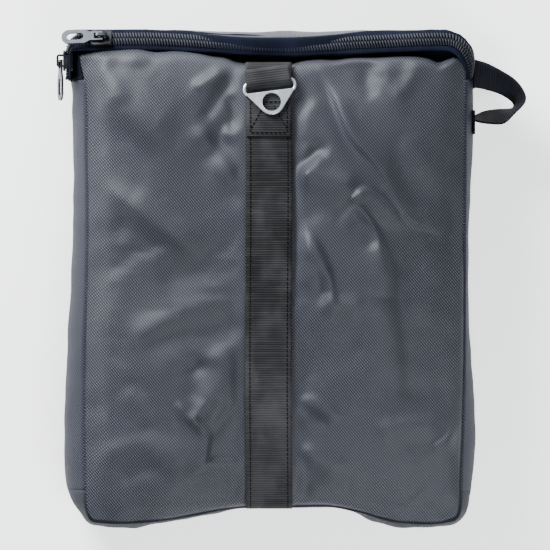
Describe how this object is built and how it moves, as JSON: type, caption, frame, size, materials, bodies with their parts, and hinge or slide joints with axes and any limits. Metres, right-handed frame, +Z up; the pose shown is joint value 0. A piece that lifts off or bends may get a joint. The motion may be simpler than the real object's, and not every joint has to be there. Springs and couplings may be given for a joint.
{
  "type": "sandbag",
  "caption": "Zipped box-shaped weight bag of coated woven nylon, filled with sand in an inner liner, with a load strap ending in a flat hanging ring and a webbing grab handle.",
  "frame": {"origin": "middle of the back panel's outer face, on which the bag lies", "axes": "+Z up, out of the front panel; +Y towards the zipped end; +X to the side with the grab handle"},
  "size_m": [0.3862, 0.4071, 0.0925],
  "materials": {
    "coated_nylon": "slate grey coated woven nylon, slight sheen",
    "webbing": "dark ribbed webbing",
    "zip_tape": "blue-black woven zip tape",
    "zip_coil": "dark nylon coil",
    "slider_metal": "gunmetal plated die casting",
    "ring_metal": "bright nickel plated steel",
    "thread": "dark bonded nylon thread",
    "binding": "woven binding tape",
    "liner": "pale coated liner cloth",
    "strip": "hook and loop tape",
    "sand": "dry play sand"
  },
  "bodies": {
    "bag": {"front_panel": "coated_nylon", "back_panel": "coated_nylon", "left_gusset": "coated_nylon", "right_gusset": "coated_nylon", "bottom_gusset": "coated_nylon", "top_gusset": "coated_nylon", "front_seam_binding": "binding", "back_seam_binding": "binding", "liner_bag": "liner", "sand_fill": "sand", "liner_hook_strip": "strip", "liner_loop_strip": "strip", "zip_tape_front": "zip_tape", "zip_tape_rear": "zip_tape", "zip_coil_front": "zip_coil", "zip_coil_rear": "zip_coil", "zip_end_stops": "slider_metal", "load_strap": "webbing", "ring_tab": "webbing", "strap_edge_stitching": "thread", "ring_tab_stitching": "thread", "handle_ends": "webbing", "handle_tacks": "thread", "handle_backing": "webbing"},
    "ring": {"hanging_ring": "ring_metal"},
    "top_slider": {"top_slider_body": "slider_metal", "top_slider_bail": "slider_metal"},
    "top_pull": {"top_slider_pull": "slider_metal"},
    "side_slider": {"side_slider_body": "slider_metal", "side_slider_bail": "slider_metal"},
    "side_pull": {"side_slider_pull": "slider_metal"},
    "handle": {"handle_loop": "webbing"}
  },
  "joints": [
    {"name": "ring_swing", "type": "hinge", "parent": "bag", "child": "ring", "pos_m": [0, 0.16103, 0.08648], "axis": [-0.9914, -0.1284, 0.0236], "range_deg": [0, 140]},
    {"name": "top_slider_slide", "type": "slide", "parent": "bag", "child": "top_slider", "axis": [1, 0, 0], "range_m": [0, 0.278]},
    {"name": "top_pull_flip", "type": "hinge", "parent": "top_slider", "child": "top_pull", "pos_m": [-0.138, 0.19962, 0.06762], "axis": [0, 0.9063, -0.4226], "range_deg": [0, 165]},
    {"name": "side_slider_slide", "type": "slide", "parent": "bag", "child": "side_slider", "axis": [0, 1, 0], "range_m": [-0.005, 0]},
    {"name": "side_pull_flip", "type": "hinge", "parent": "side_slider", "child": "side_pull", "pos_m": [-0.1722, 0.1795, 0.049], "axis": [-0.309, 0, -0.9511], "range_deg": [0, 165]},
    {"name": "handle_swing", "type": "hinge", "parent": "bag", "child": "handle", "pos_m": [0.1703, 0.155, 0.035], "axis": [0, 1, 0], "range_deg": [-65, 50]}
  ]
}
